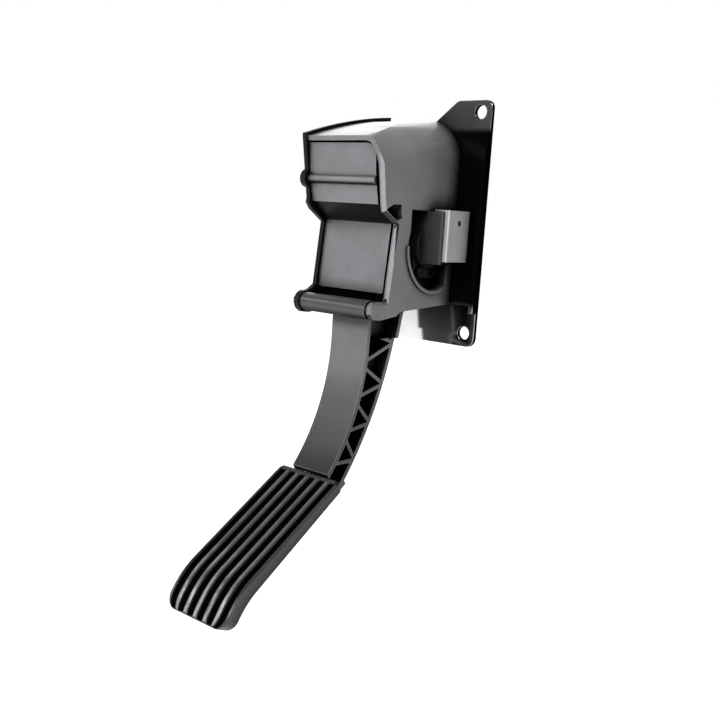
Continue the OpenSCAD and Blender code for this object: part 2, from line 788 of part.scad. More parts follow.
// Side view of the neck from the bend up to the hub
neck_front = [[arm_front_y, arm_bend_z], [arm_front_y, neck_top], hub_touch([arm_front_y, neck_top], -1)];
neck_back = [[arm_back_at(arm_bend_z), arm_bend_z], neck_back_low, hub_touch(neck_back_low, 1)];

module neck() {
    polygon(concat(neck_front, [pivot], reversed(neck_back)));
    translate(pivot) circle(r = hub_r);
}

// Lever above the hub, ending in the round nose that pushes the spring cup
module lever() {
    polygon([[pivot_y - nose_r + 1, spring_z], [pivot_y + nose_r, spring_z],
        [pivot_y + hub_r - 3, pivot_z + 4], [pivot_y - nose_r + 1, pivot_z + 4]]);
    translate([pivot_y, spring_z]) circle(r = nose_r);
}

// Keel below the foot plate, in the pad's own frame
keel = [[-16, foot_w1 - 0.5], [-13.2, 16.2], [-2, 17.2], [20, 14.5], [62, foot_w1 + 1.5], [62, foot_w1 - 0.5]];

module pad_frame() {
    translate([0, pad_top[0], pad_top[1]]) rotate([180 + pad_slope, 0, 0]) children();
}

// Strip that follows the pad's top face between depths w0 and w1, from u0 to the end less cut.
// At u0 the strip may be thinner: its depth there is w_start.
module pad_strip(w0, w1, u0, cut, w_start = undef) {
    bend = pad_bend - cut / pad_bend_r * 180 / PI;
    polygon([[u0, w0], [pad_flat, w0], [pad_flat, w1], [u0, is_undef(w_start) ? w1 : w_start]]);
    translate([pad_flat, pad_bend_r]) intersection() {
        difference() {
            circle(r = pad_bend_r - w0, $fn = 240);
            circle(r = pad_bend_r - w1, $fn = 240);
        }
        polygon([[0, 0], [0, -2 * pad_bend_r], 2 * pad_bend_r * [sin(bend), -cos(bend)]]);
    }
}

// Length of the pad as seen square on to its flat part
pad_l = pad_flat + pad_bend_r * sin(pad_bend);

// Plan of the pad, inset by d
module pad_plan(d, r_top, r_low) {
    translate([0, 0, -10]) linear_extrude(100)
        polygon(rounded([[-pad_w / 2 + d, d], [pad_w / 2 - d, d], [pad_w / 2 - d, pad_l - d],
            [-pad_w / 2 + d, pad_l - d]], [r_top, r_top, r_low, r_low]));
}

module pedal_arm() {
    hub_pin_r = 1.5;
    color(nylon) difference() {
        union() {
            difference() {
                union() {
                    // Web, ribs and flanges of the curved blade
                    across_mid(arm_web_t) intersection() {
                        arm_blade();
                        blade_limits();
                    }
                    across_mid(arm_back_w) intersection() {
                        arm_blade();
                        blade_limits();
                        union() {
                            arm_ribs();
                            difference() {
                                translate(arm_back_c) circle(r = arm_back_r + 1, $fn = 360);
                                translate(arm_back_c) circle(r = arm_back_r - arm_flange_t, $fn = 360);
                            }
                        }
                    }
                    across_mid(arm_w) intersection() {
                        arm_blade();
                        blade_limits();
                        translate(arm_front_c) circle(r = arm_bend_r + arm_flange_t, $fn = 360);
                    }
                    // Keel under the pad
                    pad_frame() across_mid(arm_web_t + 1) polygon(keel);
                    pad_frame() across_mid(arm_back_w) polygon(concat(
                        [for (i = [1 : 4]) keel[i]], reversed(shifted([for (i = [1 : 4]) keel[i]], 2.4))));
                }
                pad_frame() translate([-pad_w, -play, -40]) cube([2 * pad_w, 100, 40 + foot_w0]);
            }
            pad_frame() intersection() {
                across_mid(pad_w) pad_strip(foot_w0, foot_w1, pad_wall + 0.3, pad_wall + 0.3);
                pad_plan(pad_wall + 0.3, 2, 6);
            }
            // Neck, hub and lever
            across_mid(arm_web_t + 3) neck();
            across_mid(arm_w) intersection() {
                neck();
                union() {
                    neck_flange(neck_front, -arm_flange_t);
                    neck_flange(neck_back, arm_flange_t);
                }
            }
            rod_x(pivot, hub_r, -hub_w / 2, hub_w / 2);
            across_mid(nose_w) lever();
        }
        rod_x(pivot, shaft_r + press_fit, -hub_w, hub_w);
        translate([0, pivot_y, pivot_z]) rotate([90, 0, 0])
            cylinder(h = hub_r + 1, r = hub_pin_r + press_fit);
    }
}

module hub_pin() {
    color(steel) translate([0, pivot_y, pivot_z]) rotate([90, 0, 0])
        translate([0, 0, -shaft_r + 2]) cylinder(h = hub_r + shaft_r - 2.4, r = 1.5);
}

module pivot_shaft() {
    color(steel) difference() {
        rod_x(pivot, shaft_r, shaft_left, shaft_right);
        // Groove for the clip and cross hole for the pin
        difference() {
            rod_x(pivot, shaft_r + 1, pocket_floor + 0.1, pocket_floor + 0.8);
            rod_x(pivot, shaft_r - 0.8, pocket_floor - 1, pocket_floor + 2);
        }
        translate([0, pivot_y, pivot_z]) rotate([90, 0, 0]) translate([0, 0, -shaft_r + 2])
            cylinder(h = 3 * shaft_r, r = 1.5 + press_fit);
    }
}

module shaft_clip() {
    color(steel) difference() {
        rod_x(pivot, shaft_r + 1.8, pocket_floor + 0.15, pocket_floor + 0.75);
        rod_x(pivot, shaft_r - 0.78, pocket_floor - 1, pocket_floor + 2);
        translate([pocket_floor - 1, pivot_y, pivot_z - 2.2]) cube([4, 20, 4.4]);
    }
}

module magnet_holder() {
    color(dark) difference() {
        rod_x(pivot, holder_r, rotor_x, holder_end);
        rod_x(pivot, shaft_r + press_fit, rotor_x - 1, shaft_right);
        rod_x(pivot, magnet_d / 2 + press_fit, holder_end - 2.2, holder_end + 1);
    }
}

module magnet() {
    color(steel) rod_x(pivot, magnet_d / 2, holder_end - 2.2, holder_end);
}

module pedal_pad() {
    first = -(groove_count - 1) / 2 * groove_step;
    color(black) difference() {
        pad_frame() intersection() {
            across_mid(pad_w) pad_strip(0, pad_side, 0, 0, pad_t);
            pad_plan(0, 4, 9);
        }
        pad_frame() intersection() {
            across_mid(pad_w) pad_strip(foot_w0 - 0.1, foot_w1 + 0.1, pad_wall, pad_wall);
            pad_plan(pad_wall, 2, 6);
        }
        pad_frame() intersection() {
            across_mid(pad_w) pad_strip(foot_w1, pad_side + 1, pad_wall + 1.4, pad_wall + 1.4);
            pad_plan(pad_wall + 1.4, 2, 5);
        }
        // Room for the arm at the pad's top end
        pad_frame() translate([-arm_back_w / 2 - 0.4, -1, foot_w0 - 0.1])
            cube([arm_back_w + 0.8, pad_wall + 3, pad_t]);
        for (i = [0 : groove_count - 1])
            pad_frame() across(first + i * groove_step - groove_w / 2, first + i * groove_step + groove_w / 2)
                pad_strip(-1, groove_depth, 2.6, -1);
    }
}

mounting_plate();
housing();
side_cover();
front_cover();
upper_snap_pin();
lower_snap_pin();
bush_left();
bush_right();
sensor_gasket();
sensor_body();
sensor_board();
connector_shell();
connector_pins();
sensor_screws();
side_cover_screws();
housing_screws();
idle_stop_pad();
full_stop_pad();
spring_guide();
outer_spring();
inner_spring();
spring_cup();
pedal_arm();
pedal_pad();
pivot_shaft();
hub_pin();
shaft_clip();
magnet_holder();
magnet();
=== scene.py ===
import math
import bmesh
import bpy
import numpy as np
from mathutils import Matrix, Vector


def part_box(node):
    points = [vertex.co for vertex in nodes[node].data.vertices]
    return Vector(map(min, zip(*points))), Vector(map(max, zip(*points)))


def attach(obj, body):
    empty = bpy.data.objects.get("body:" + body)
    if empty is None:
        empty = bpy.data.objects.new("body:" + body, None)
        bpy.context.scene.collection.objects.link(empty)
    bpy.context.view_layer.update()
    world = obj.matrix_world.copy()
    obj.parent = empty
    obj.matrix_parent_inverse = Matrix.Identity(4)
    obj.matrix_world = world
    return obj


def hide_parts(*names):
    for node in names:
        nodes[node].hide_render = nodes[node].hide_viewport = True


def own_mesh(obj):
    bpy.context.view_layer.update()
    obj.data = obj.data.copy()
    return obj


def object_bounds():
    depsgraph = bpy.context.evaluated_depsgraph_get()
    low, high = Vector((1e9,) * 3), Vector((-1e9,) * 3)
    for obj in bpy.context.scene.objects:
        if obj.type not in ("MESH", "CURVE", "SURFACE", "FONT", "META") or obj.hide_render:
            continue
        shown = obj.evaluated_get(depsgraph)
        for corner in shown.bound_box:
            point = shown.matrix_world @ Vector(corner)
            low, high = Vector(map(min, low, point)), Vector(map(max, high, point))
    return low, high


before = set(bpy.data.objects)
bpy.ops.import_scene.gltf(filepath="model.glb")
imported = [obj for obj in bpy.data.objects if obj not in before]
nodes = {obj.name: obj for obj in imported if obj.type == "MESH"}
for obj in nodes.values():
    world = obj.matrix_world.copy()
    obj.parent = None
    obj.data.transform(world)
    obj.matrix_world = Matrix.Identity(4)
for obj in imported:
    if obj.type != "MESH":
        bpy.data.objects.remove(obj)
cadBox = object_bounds()
print("frame loaded:", len(nodes), "nodes")

# Metres, millimetres for the lens, and degrees, in the pedal's own frame
cameraSetup = {
    "place": (0.394, -0.531, 0.001),
    "azimuth": 39.6,
    "elevation": 8.7,
    "roll": -3.7,
    "lens": 47.05,
    "sensor": 36.0,
    "clip": (0.01, 50.0),
}


def makeCamera(setup):
    # The camera looks along minus "back"; right and up are turned about it by the roll
    a, e, r = (math.radians(setup[k]) for k in ("azimuth", "elevation", "roll"))
    back = np.array([math.sin(a) * math.cos(e), -math.cos(a) * math.cos(e), math.sin(e)])
    level = np.array([math.cos(a), math.sin(a), 0.0])
    upright = np.cross(back, level)
    right = level * math.cos(r) - upright * math.sin(r)
    up = upright * math.cos(r) + level * math.sin(r)
    data = bpy.data.cameras.new("camera")
    data.lens, data.sensor_width = setup["lens"], setup["sensor"]
    data.clip_start, data.clip_end = setup["clip"]
    camera = bpy.data.objects.new("camera", data)
    bpy.context.scene.collection.objects.link(camera)
    camera.matrix_world = turnedPlace(right, up, back, setup["place"])
    bpy.context.scene.camera = camera


def turnedPlace(right, up, back, place):
    # The matrix whose X, Y and Z point along right, up and back, at place
    turn = np.eye(4)
    turn[:3, 0], turn[:3, 1], turn[:3, 2], turn[:3, 3] = right, up, back, place
    return Matrix(turn.tolist())


makeCamera(cameraSetup)
print("camera made")


# Shader maths: a wire is one socket of a material's nodes, and sums on wires add Math nodes
class Wire:
    def __init__(self, tree, socket):
        self.tree, self.socket = tree, socket

    def maths(self, operation, *others):
        return addNode(self.tree, "ShaderNodeMath", {"operation": operation}, dict(enumerate((self,) + others)))

    def __add__(self, other):
        return self.maths("ADD", other)

    def __sub__(self, other):
        return self.maths("SUBTRACT", other)

    def __mul__(self, other):
        return self.maths("MULTIPLY", other)

    def __rsub__(self, other):
        return addNode(self.tree, "ShaderNodeMath", {"operation": "SUBTRACT"}, {0: other, 1: self})

    __radd__, __rmul__ = __add__, __mul__

    def between(self, low, high):
        # 0 below low, 1 above high, smooth in between
        return addNode(self.tree, "ShaderNodeMapRange", {"interpolation_type": "SMOOTHSTEP"},
                       {"Value": self, "From Min": low, "From Max": high})

    def axis(self, name):
        # One number, X, Y or Z, of a place or a direction
        return addNode(self.tree, "ShaderNodeSeparateXYZ", {}, {0: self}, name)

    def along(self, way):
        # 1 where two directions agree, 0 where they are square to each other
        return addNode(self.tree, "ShaderNodeVectorMath", {"operation": "DOT_PRODUCT"}, {0: self, 1: way}, "Value")


def addNode(tree, kind, settings=None, inputs=None, output=0):
    # One node: its settings first, then values or wires on its sockets
    node = tree.nodes.new(kind)
    for key, value in (settings or {}).items():
        setattr(node, key, value)
    for key, value in (inputs or {}).items():
        if isinstance(value, Wire):
            tree.links.new(value.socket, node.inputs[key])
        else:
            node.inputs[key].default_value = value
    return Wire(tree, node.outputs[output])


def blendColours(tree, share, first, second):
    # Mix of two colours; in this node the colour sockets are 6 and 7 and the colour result is 2
    return addNode(tree, "ShaderNodeMix", {"data_type": "RGBA"}, {0: share, 6: first, 7: second}, 2)


def grey(level, tint=1.0):
    # A linear grey, with a little more blue where tint is above 1
    return (level, level, level * tint, 1.0)


shadeAndEdgeBlack = grey(0.0015)  # painted shade in gaps, grooves and on undersides, and the dull black of the plate's cut edges


def startMaterial(name):
    material = bpy.data.materials.new(name)
    material.use_nodes = True
    tree = material.node_tree
    tree.nodes.clear()
    return material, tree


def endTree(tree, surface, kind="ShaderNodeOutputMaterial"):
    tree.links.new(surface.socket, tree.nodes.new(kind).inputs["Surface"])


def finishMaterial(tree, changing, fixed, unshaded=None):
    # The surface shader: changing holds wires that vary over the surface, fixed holds numbers that don't. Where the
    # last mask is 0 the surface is dull black instead: painted shade, and the plate's own black on its cut edges
    surface = addNode(tree, "ShaderNodeBsdfPrincipled", {}, {**fixed, **changing})
    if unshaded is not None:
        black = addNode(tree, "ShaderNodeBsdfDiffuse", {}, {"Color": shadeAndEdgeBlack})
        surface = addNode(tree, "ShaderNodeMixShader", {}, {0: unshaded, 1: black, 2: surface})
    endTree(tree, surface)


def objectPlace(tree):
    return addNode(tree, "ShaderNodeTexCoord", output="Object")


def trueNormal(tree):
    return addNode(tree, "ShaderNodeNewGeometry", output="Normal")


def noise(tree, place, scale, detail, rough=0.55):
    return addNode(tree, "ShaderNodeTexNoise", {},
                   {"Vector": place, "Scale": scale, "Detail": detail, "Roughness": rough})


edgeSetup = {"bevelSamples": 4, "gapSamples": 5, "turnedFrom": (0.01, 0.25)}


def roundedNormal(tree, radius):
    # Normal of the surface with its sharp edges rounded by radius
    return addNode(tree, "ShaderNodeBevel", {"samples": edgeSetup["bevelSamples"]}, {"Radius": radius})


def edgeMask(tree, rounded):
    # 1 on an edge, where the rounded normal leaves the true one
    return (1.0 - rounded.along(trueNormal(tree))).between(*edgeSetup["turnedFrom"])


def gapShade(tree, reach, low, high):
    # 0 deep in a gap or pocket, 1 in the open: the share of directions free of surface within reach
    samples = {"samples": edgeSetup["gapSamples"]}
    return addNode(tree, "ShaderNodeAmbientOcclusion", samples, {"Distance": reach}, "AO").between(low, high)


def bumped(tree, height, depth, strength, rounded=None):
    # Small relief on top of the rounded normal
    inputs = {"Strength": strength, "Distance": depth, "Height": height}
    if rounded is not None:
        inputs["Normal"] = rounded
    return addNode(tree, "ShaderNodeBump", {}, inputs)


# Moulded plastics, in metres where not said otherwise.
# level, tint: linear grey and its blue; rough, spread: roughness and how far it drifts; ior: of the surface
# grain, depth: spots a metre of the spark grain and its height; edge: radius of the rounded edges
# pale: how many times brighter an edge's painted highlight is; rim: how much of it stays bright in a gap's painted
# shade
# reach, gap, deep: painted shade: how far a gap darkens its surroundings, from which to which free share, to what share
# under: undersides are painted black as shade, from the first to the second share of facing down, by the third
# highlightWay, scuffAndHighlight: faces that look this way are lighter by this much, a painted highlight with scuffs
# lowShadeFrom, lowShadeShare: painted shade: below the first depth under the origin the grey falls, past the second to
# this share
# insideShadeFrom: painted shade: the surface is black above these heights, inside the housing
plasticFinishes = {
    "housingNylon": {
        "level": 0.146, "tint": 1.06, "rough": 0.33, "spread": 0.10, "ior": 1.5,
        "grain": 1150, "depth": 0.00014, "edge": 0.0007, "pale": 3.0, "rim": 0.8,
        "reach": 0.015, "gap": (0.52, 0.94), "deep": 0.01, "under": (0.3, 0.8, 0.95),
        "highlightWay": (0.71, -0.70, -0.12), "scuffAndHighlight": 2.5,
    },
    "coverBlack": {
        "level": 0.004, "tint": 1.03, "rough": 0.5, "spread": 0.08, "ior": 1.25,
        "grain": 2400, "depth": 0.00003, "edge": 0.0004, "pale": 2.0, "rim": 0.0,
        "reach": 0.008, "gap": (0.4, 0.9), "deep": 0.1, "under": (0.3, 0.8, 0.0),
    },
    "sensorBlack": {
        "level": 0.03, "tint": 1.03, "rough": 0.35, "spread": 0.08, "ior": 1.4,
        "grain": 2400, "depth": 0.00003, "edge": 0.0006, "pale": 2.6, "rim": 0.3,
        "reach": 0.014, "gap": (0.4, 0.9), "deep": 0.05, "under": (0.3, 0.8, 0.3),
    },
    "armNylon": {
        "level": 0.118, "tint": 1.06, "rough": 0.38, "spread": 0.10, "ior": 1.5,
        "grain": 2200, "depth": 0.00008, "edge": 0.0010, "pale": 2.9, "rim": 0.6,
        "reach": 0.050, "gap": (0.36, 0.66), "deep": 0.01, "under": (0.12, 0.62, 0.62),
        "lowShadeFrom": (0.090, 0.140), "lowShadeShare": 0.06, "insideShadeFrom": (-0.058, -0.054),
    },
    "connectorGrey": {
        "level": 0.30, "tint": 1.04, "rough": 0.34, "spread": 0.08, "ior": 1.5,
        "grain": 2600, "depth": 0.00003, "edge": 0.0010, "pale": 2.0, "rim": 0.5,
        "reach": 0.010, "gap": (0.4, 0.9), "deep": 0.03, "under": (0.3, 0.8, 0.5),
        "highlightWay": (0.38, -0.92, 0.0), "scuffAndHighlight": 2.1,
    },
    "bushAcetal": {
        "level": 0.5, "tint": 0.9, "rough": 0.4, "spread": 0.05, "ior": 1.48,
        "grain": 1500, "depth": 0.00002, "edge": 0.0002, "pale": 1.1, "rim": 0.5,
        "reach": 0.004, "gap": (0.4, 0.9), "deep": 0.3, "under": (0.3, 0.8, 0.0),
    },
    "stopRubber": {
        "level": 0.03, "tint": 1.0, "rough": 0.75, "spread": 0.10, "ior": 1.5,
        "grain": 1200, "depth": 0.00006, "edge": 0.0003, "pale": 1.4, "rim": 0.5,
        "reach": 0.006, "gap": (0.4, 0.9), "deep": 0.3, "under": (0.3, 0.8, 0.0),
    },
}
# The front cover is the housing's plastic, with painted shade darkening it along its roll
plasticFinishes["coverNylon"] = {**plasticFinishes["housingNylon"], "under": (0.2, 0.8, 0.95),
                                 "lowShadeFrom": (0.047, 0.0495), "lowShadeShare": 0.3}

# The same for every plastic: spots a metre of the slow drift and of the scuffs, from which to which value of each
# pattern it shows, shares of the grey, those of undersides being painted shade, and what the speck, edges and gaps
# add to the roughness
plasticForm = {
    "cloudScale": 38.0, "cloudFrom": (0.3, 0.7), "drift": 0.14,
    "speckFrom": (0.35, 0.75), "speckShare": 0.5, "speck": 1.5, "bump": 0.6,
    "scuffScale": 240.0, "scuffFrom": (0.45, 0.75), "scuffOnFace": 0.3, "scuffOnEdge": 0.45,
    "facingFrom": (0.90, 0.98), "underside": 0.1, "undersideBlack": 0.8,
    "speckRough": 0.12, "edgeRough": -0.08, "gapRough": 0.3,
}


def makePlastic(name, f):
    # Colour drifts slowly over the part and a fine spark grain roughens it. Gaps and undersides are painted black as
    # shade, and edges and faces that look one way are paler as painted highlights, with scuffs
    material, tree = startMaterial(name)
    place, normal = objectPlace(tree), trueNormal(tree)
    form, level, tint = plasticForm, f["level"], f["tint"]
    cloud = noise(tree, place, form["cloudScale"], 4.0)
    speck = noise(tree, place, f["grain"], 2.0, 0.6)
    scuff = noise(tree, place, form["scuffScale"], 5.0, 0.7).between(*form["scuffFrom"])
    rounded = roundedNormal(tree, f["edge"])
    edge = edgeMask(tree, rounded)
    base = blendColours(tree, cloud.between(*form["cloudFrom"]), grey(level * (1 - form["drift"]), tint),
                        grey(level * (1 + form["drift"]), tint))
    spots = speck.between(*form["speckFrom"]) * form["speckShare"]
    base = blendColours(tree, spots, base, grey(level * form["speck"], tint))
    # Painted shade: faces turned down go dark, then black
    low, high, share = f["under"]
    under = (normal.axis("Z") * -1.0).between(low, high) * share
    base = blendColours(tree, under, base, grey(level * form["underside"], tint))
    # Painted highlight: faces that look one way are lighter, broken by scuffs
    if "highlightWay" in f:
        facing = normal.along(f["highlightWay"]).between(*form["facingFrom"])
        facing = facing * ((1 - form["scuffOnFace"]) + form["scuffOnFace"] * scuff)
        base = blendColours(tree, facing, base, grey(level * f["scuffAndHighlight"], tint))
    # Painted shade: darker below a depth
    if "lowShadeFrom" in f:
        fade = (place.axis("Z") * -1.0).between(*f["lowShadeFrom"])
        base = blendColours(tree, fade, base, grey(level * f["lowShadeShare"], tint))
    # Painted shade: gaps and pockets darken towards black
    free = gapShade(tree, f["reach"], *f["gap"])
    base = blendColours(tree, free, grey(level * f["deep"], tint), base)
    # Painted highlight with scuffs: edges are paler, except deep in a gap
    edge = edge * free.between(0.0, 0.3)
    wearAndHighlight = edge * ((1 - form["scuffOnEdge"]) + form["scuffOnEdge"] * scuff)
    base = blendColours(tree, wearAndHighlight, base, grey(level * f["pale"], tint))
    # Where this mask is low the surface is painted black as shade, except on edges
    unshaded = (free * (1.0 - under * form["undersideBlack"]) + edge * f["rim"]).maths("MINIMUM", 1.0)
    # Painted shade: black above a height, inside the housing
    if "insideShadeFrom" in f:
        unshaded = unshaded * (1.0 - place.axis("Z").between(*f["insideShadeFrom"]))
    rough = f["rough"] + (cloud - 0.5) * f["spread"] + (speck - 0.5) * form["speckRough"]
    rough = rough + edge * form["edgeRough"] + (1.0 - free) * form["gapRough"]
    bump = bumped(tree, speck, f["depth"], form["bump"], rounded)
    finishMaterial(tree, {"Base Color": base, "Roughness": rough, "Normal": bump}, {"IOR": f["ior"]}, unshaded)
    return material


# Polished black plate. highFrom: its mirror comes in above these heights, lowFrom: and below these depths under the
# origin; between them, beside the housing, it is painted shade. open: from which to which free share within reach it
# mirrors. dusty: what is left of it in that painted shade. pale: the cut edges' painted highlight
plateFinish = {
    "level": 0.55, "tint": 1.02, "rough": 0.10, "highFrom": (0.058, 0.063), "lowFrom": (0.051, 0.056),
    "reach": 0.06, "open": (0.62, 0.90), "dusty": 0.12, "shadeLevel": 0.02,
    "back": 0.055, "backRough": 0.22, "matt": 0.006, "mattRough": 0.45,
    "edge": 0.0006, "pale": 0.02, "rim": 0.12,
    "broad": (0.7, 0.95), "cloudScale": 45.0, "ripple": 900.0, "depth": 0.00003, "bump": 0.15, "ior": 1.35,
}


def makePlate(f):
    # The broad faces mirror like metal, and every cut edge is dull black with a faint painted highlight. The mirror
    # dies away into painted shade beside the housing, and is full below it and on the ear. The back is satin black
    material, tree = startMaterial("blackPlate")
    place = objectPlace(tree)
    across, height = trueNormal(tree).axis("Y"), place.axis("Z")
    facing = across.maths("ABSOLUTE").between(*f["broad"])
    behind = across.between(*f["broad"])
    rounded = roundedNormal(tree, f["edge"])
    edge = edgeMask(tree, rounded)
    cloud = noise(tree, place, f["cloudScale"], 5.0, 0.6)
    fine = noise(tree, place, f["ripple"], 3.0, 0.6)
    # Painted shade: beside the housing the mirror turns to black
    free = gapShade(tree, f["reach"], *f["open"]) * height.between(*f["highFrom"])
    free = free.maths("MAXIMUM", (height * -1.0).between(*f["lowFrom"])) * (1.0 - behind)
    shine = blendColours(tree, cloud.between(0.3, 0.7), grey(f["level"] * 0.9, f["tint"]), grey(f["level"], f["tint"]))
    dusty = blendColours(tree, behind, grey(f["shadeLevel"]), grey(f["back"], f["tint"]))
    # Cut edges are dull black with a faint painted highlight
    dull = blendColours(tree, edge, grey(f["matt"]), grey(f["pale"]))
    base = blendColours(tree, facing, dull, blendColours(tree, free, dusty, shine))
    rough = f["mattRough"] - facing * (f["mattRough"] - f["rough"]) + behind * f["backRough"] + (cloud - 0.5) * 0.05
    bump = bumped(tree, fine, f["depth"], f["bump"], rounded)
    unshaded = facing * (f["dusty"] + (1 - f["dusty"]) * free)
    unshaded = unshaded.maths("MAXIMUM", edge * f["rim"]).maths("MAXIMUM", behind)
    finishMaterial(tree, {"Base Color": base, "Roughness": rough, "Metallic": facing, "Normal": bump},
                   {"IOR": f["ior"]}, unshaded)
    return material


# Metals, and the lacquered board. brush: ripples a metre
metalFinishes = {
    "zincSteel": {"colour": grey(0.30, 1.03), "rough": 0.3, "metal": 1.0, "brush": 900, "edge": 0.0002},
    "screwSteel": {"colour": grey(0.06, 1.03), "rough": 0.35, "metal": 1.0, "brush": 900, "edge": 0.0002},
    "springSteel": {"colour": grey(0.36), "rough": 0.32, "metal": 1.0, "brush": 700, "edge": 0.0002},
    "contactBrass": {"colour": (0.72, 0.52, 0.2, 1.0), "rough": 0.3, "metal": 1.0, "brush": 900, "edge": 0.0001},
    "magnetGrey": {"colour": grey(0.3), "rough": 0.35, "metal": 1.0, "brush": 900, "edge": 0.0002},
    "boardGreen": {"colour": (0.02, 0.13, 0.05, 1.0), "rough": 0.3, "metal": 0.0, "brush": 500, "edge": 0.0001},
}
# The same for every metal: clouds a metre and how dim they are, how bright a worn edge is, its ripple, and the painted
# shade in gaps
metalForm = {"cloudScale": 45.0, "cloudFrom": (0.35, 0.65), "dim": 0.82, "bright": 1.35, "edgeShare": 0.6,
             "depth": 0.00004, "bump": 0.25, "reach": 0.012, "gap": (0.25, 0.9), "deep": 0.01}


def makeMetal(name, f):
    # A smooth metal with a fine ripple, faint cloudy marks, slightly brighter worn edges and painted shade in its gaps
    material, tree = startMaterial(name)
    place, form, colour = objectPlace(tree), metalForm, f["colour"]
    cloud = noise(tree, place, form["cloudScale"], 5.0, 0.6)
    fine = noise(tree, place, f["brush"], 4.0, 0.65)
    rounded = roundedNormal(tree, f["edge"])
    dim = tuple(c * form["dim"] for c in colour[:3]) + (1.0,)
    bright = tuple(min(1.0, c * form["bright"]) for c in colour[:3]) + (1.0,)
    base = blendColours(tree, cloud.between(*form["cloudFrom"]), dim, colour)
    base = blendColours(tree, edgeMask(tree, rounded) * form["edgeShare"], base, bright)
    # Painted shade: gaps darken
    base = blendColours(tree, gapShade(tree, form["reach"], *form["gap"]), grey(form["deep"]), base)
    rough = f["rough"] + (cloud - 0.5) * 0.06 + (fine - 0.5) * 0.05
    bump = bumped(tree, fine, form["depth"], form["bump"], rounded)
    finishMaterial(tree, {"Base Color": base, "Roughness": rough, "Normal": bump}, {"Metallic": f["metal"]})
    return material


materials = {name: makePlastic(name, f) for name, f in plasticFinishes.items()}
materials.update({name: makeMetal(name, f) for name, f in metalFinishes.items()})
materials["blackPlate"] = makePlate(plateFinish)
print("materials made:", len(materials))

nodeFinishes = {
    "mounting_plate": "blackPlate", "housing": "housingNylon", "front_cover": "coverNylon",
    "side_cover": "coverBlack", "upper_snap_pin": "coverBlack", "lower_snap_pin": "coverBlack",
    "bush_left": "bushAcetal", "bush_right": "bushAcetal", "sensor_gasket": "stopRubber",
    "sensor_body": "sensorBlack", "sensor_board": "boardGreen", "connector_shell": "connectorGrey",
    "connector_pins": "contactBrass", "sensor_screws": "screwSteel", "side_cover_screws": "zincSteel",
    "housing_screws": "zincSteel", "idle_stop_pad": "stopRubber", "full_stop_pad": "stopRubber",
    "spring_guide": "sensorBlack", "outer_spring": "springSteel", "inner_spring": "springSteel",
    "spring_cup": "sensorBlack", "pedal_arm": "armNylon", "pedal_pad": "stopRubber",
    "pivot_shaft": "zincSteel", "hub_pin": "zincSteel", "shaft_clip": "springSteel",
    "magnet_holder": "sensorBlack", "magnet": "magnetGrey",
}
for nodeName, finish in nodeFinishes.items():
    nodes[nodeName].data.materials.clear()
    nodes[nodeName].data.materials.append(materials[finish])


def meshObject(name, points, faces, material, flatFrom=None):
    # Faces from number flatFrom on are shaded flat, the others round
    mesh = bpy.data.meshes.new(name)
    mesh.from_pydata(points.tolist(), [], faces)
    mesh.update()
    roundFaces = len(faces) if flatFrom is None else flatFrom
    mesh.polygons.foreach_set("use_smooth", np.arange(len(faces)) < roundFaces)
    mesh.materials.append(material)
    piece = bpy.data.objects.new(name, mesh)
    bpy.context.scene.collection.objects.link(piece)
    return piece


def makeTube(name, rings, material):
    # rings[i, j] is place j of ring i; each four neighbours make one face, and each end is closed by one flat face
    rows, columns = rings.shape[:2]
    i, j = np.meshgrid(np.arange(rows - 1), np.arange(columns), indexing="ij")
    beside = (j + 1) % columns
    quads = np.stack([i * columns + j, i * columns + beside, (i + 1) * columns + beside, (i + 1) * columns + j], -1)
    quads = quads.reshape(-1, 4).tolist()
    caps = [list(range(columns))[::-1], list(range((rows - 1) * columns, rows * columns))]
    return meshObject(name, rings.reshape(-1, 3), quads + caps, material, len(quads))


# wire: its diameter; around and perTurn: places round the wire and along one turn
springSetup = {
    "outerCoil": {"node": "outer_spring", "wire": 0.0024, "turns": 7, "around": 16, "perTurn": 48},
    "innerCoil": {"node": "inner_spring", "wire": 0.0016, "turns": 10, "around": 14, "perTurn": 40},
}


def makeSpring(name, s):
    # A round wire swept along a helix about Y: the first and last turn rise by one wire, the middle ones evenly.
    # Known fault: the middle ones rise one wire too little in all, so the wire steps where the last turn starts
    low, high = (np.array(c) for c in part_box(s["node"]))
    centre = (low + high) / 2
    wire = s["wire"] / 2
    radius = (high[0] - low[0]) / 2 - wire
    length = high[1] - low[1]
    turn = np.linspace(0, s["turns"], s["turns"] * s["perTurn"] + 1)
    middle = (length - 8 * wire) / (s["turns"] - 2)
    climb = np.where(turn < 1, 2 * wire * turn,
                     np.where(turn > s["turns"] - 1, length - 2 * wire - 2 * wire * (s["turns"] - turn),
                              2 * wire + middle * (turn - 1)))
    angle = 2 * np.pi * turn
    out = np.stack([np.cos(angle), np.zeros_like(angle), np.sin(angle)], -1)
    line = centre + out * radius
    line[:, 1] = high[1] - wire - climb
    around = 2 * np.pi * np.arange(s["around"]) / s["around"]
    along = np.array([0.0, 1.0, 0.0])
    ring = np.cos(around)[None, :, None] * out[:, None, :] + np.sin(around)[None, :, None] * along
    spring = makeTube(name, line[:, None, :] + wire * ring, materials["springSteel"])
    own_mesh(spring)
    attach(spring, "mount")
    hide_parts(s["node"])


for springName, setup in springSetup.items():
    makeSpring(springName, setup)
print("springs made")

